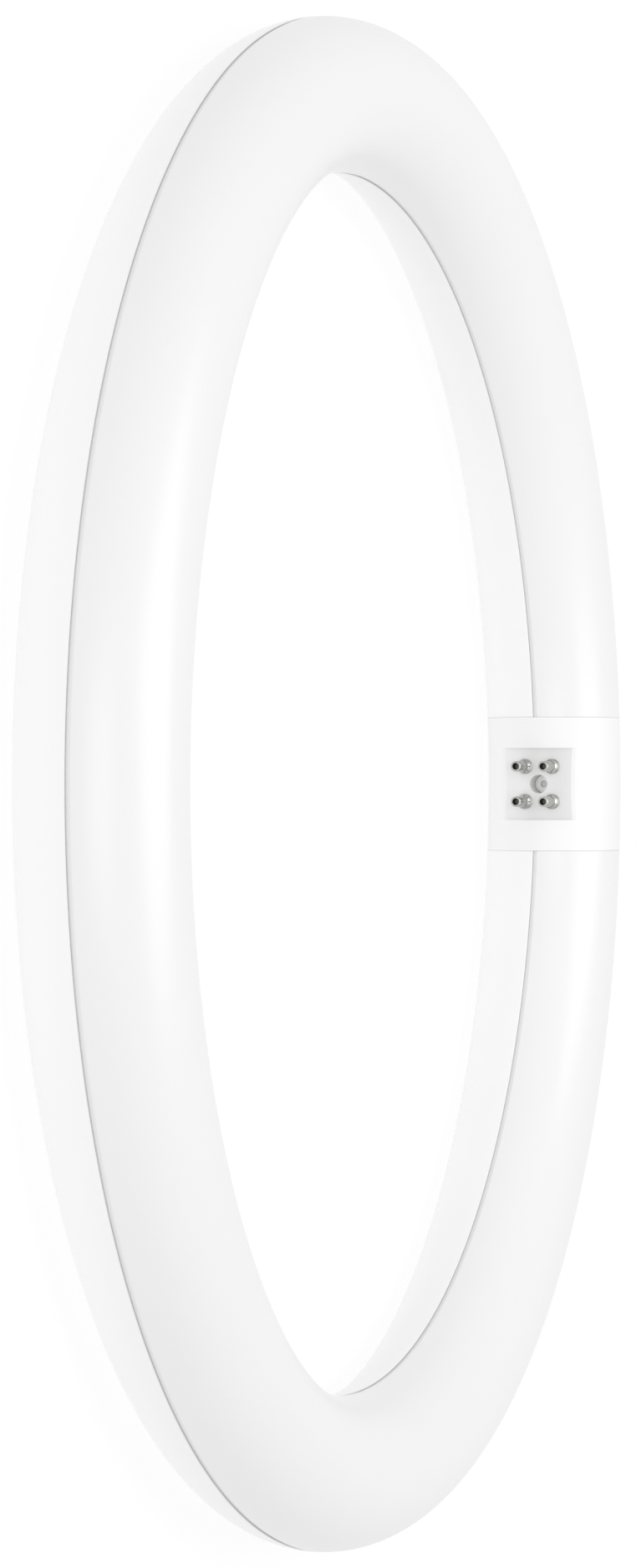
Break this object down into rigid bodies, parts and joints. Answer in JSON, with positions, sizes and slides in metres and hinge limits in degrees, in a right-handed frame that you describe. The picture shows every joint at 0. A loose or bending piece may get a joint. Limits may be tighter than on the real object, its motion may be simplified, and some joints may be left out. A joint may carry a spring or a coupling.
{
  "type": "circular led tube",
  "caption": "Ring-shaped white LED tube lamp: a rear housing and an opal front diffuser meet at a seam, joined by a flush base with a recessed pin contact well.",
  "frame": {"origin": "centre of the ring, on the plane that the rear side of the tube rests on", "axes": "+Z along the ring's axis from the rear housing to the lit front; +X from the ring's centre to the base; +Y along the tube at the base, which is up in the picture"},
  "size_m": [0.3, 0.3, 0.03],
  "materials": {
    "rear_housing": "moulded white, glossy",
    "front_diffuser": "moulded opal white, glossy",
    "base": "moulded white, satin",
    "contact_pin": "nickel-plated",
    "screw": "zinc-plated",
    "pin_metal": "tinned",
    "lead_insulation": "white insulation",
    "led_board": "white solder mask",
    "board_link": "moulded",
    "driver_board": "green solder mask",
    "insulation_film": "plain film",
    "resistor": "coated",
    "varistor": "dipped",
    "film_capacitor": "moulded box",
    "ferrite": "ferrite and enamelled wire",
    "black_package": "moulded",
    "capacitor_sleeve": "shrink sleeve"
  },
  "bodies": {
    "root": {"base_inner_half": "base", "base_outer_half": "base", "base_screw": "screw", "board_link_1": "board_link", "board_link_2": "board_link", "board_link_3": "board_link", "bridge_rectifier": "black_package", "bulk_capacitor": "capacitor_sleeve", "choke": "ferrite", "contact_pin_1": "contact_pin", "contact_pin_2": "contact_pin", "contact_pin_3": "contact_pin", "contact_pin_4": "contact_pin", "driver_board": "driver_board", "driver_chip": "black_package", "film_capacitor": "film_capacitor", "front_diffuser": "front_diffuser", "fuse_resistor": "resistor", "insulation_film": "insulation_film", "led_board_1": "led_board", "led_board_2": "led_board", "led_board_3": "led_board", "led_board_4": "led_board", "output_capacitor": "capacitor_sleeve", "output_diode": "black_package", "output_pins": "pin_metal", "pin_lead_1": "lead_insulation", "pin_lead_2": "lead_insulation", "pin_link_1": "pin_metal", "pin_link_2": "pin_metal", "rear_housing": "rear_housing", "transformer": "ferrite", "varistor": "varistor"}
  },
  "joints": []
}
